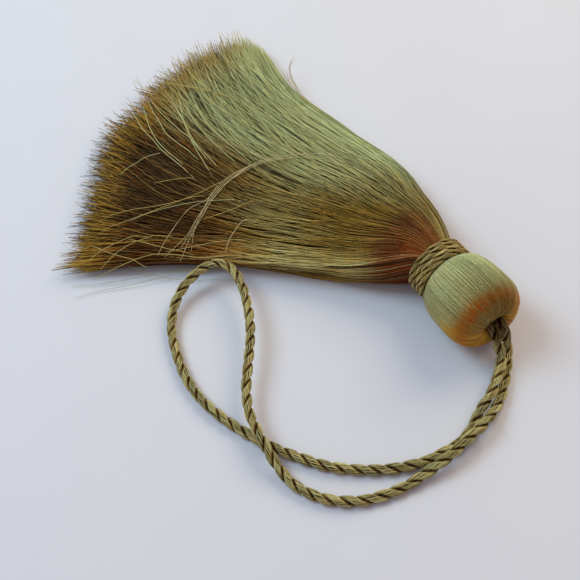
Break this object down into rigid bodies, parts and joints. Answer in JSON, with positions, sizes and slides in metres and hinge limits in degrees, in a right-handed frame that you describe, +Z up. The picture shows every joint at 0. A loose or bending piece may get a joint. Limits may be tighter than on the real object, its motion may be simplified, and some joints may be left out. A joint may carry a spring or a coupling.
{
  "type": "silk tassel with hanging cord",
  "caption": "Olive thread tassel lying on its side: a round folded head, a corded neck, a fanned skirt of cut threads and a twisted cord in a loop.",
  "frame": {"origin": "on the surface that the tassel lies on, at the middle of the head's small flat spot", "axes": "+Z up from the surface; +X along the tassel from the fanned skirt to the head; +Y across it, away from the cord's loop"},
  "size_m": [0.1284, 0.0939, 0.0172],
  "materials": {
    "silk_thread": "silky sheen",
    "fine_cord": "satin",
    "twisted_cord": "satin"
  },
  "bodies": {
    "root": {"thread_bundle": "silk_thread", "neck_binding": "fine_cord", "hanging_cord": "twisted_cord"}
  },
  "joints": []
}
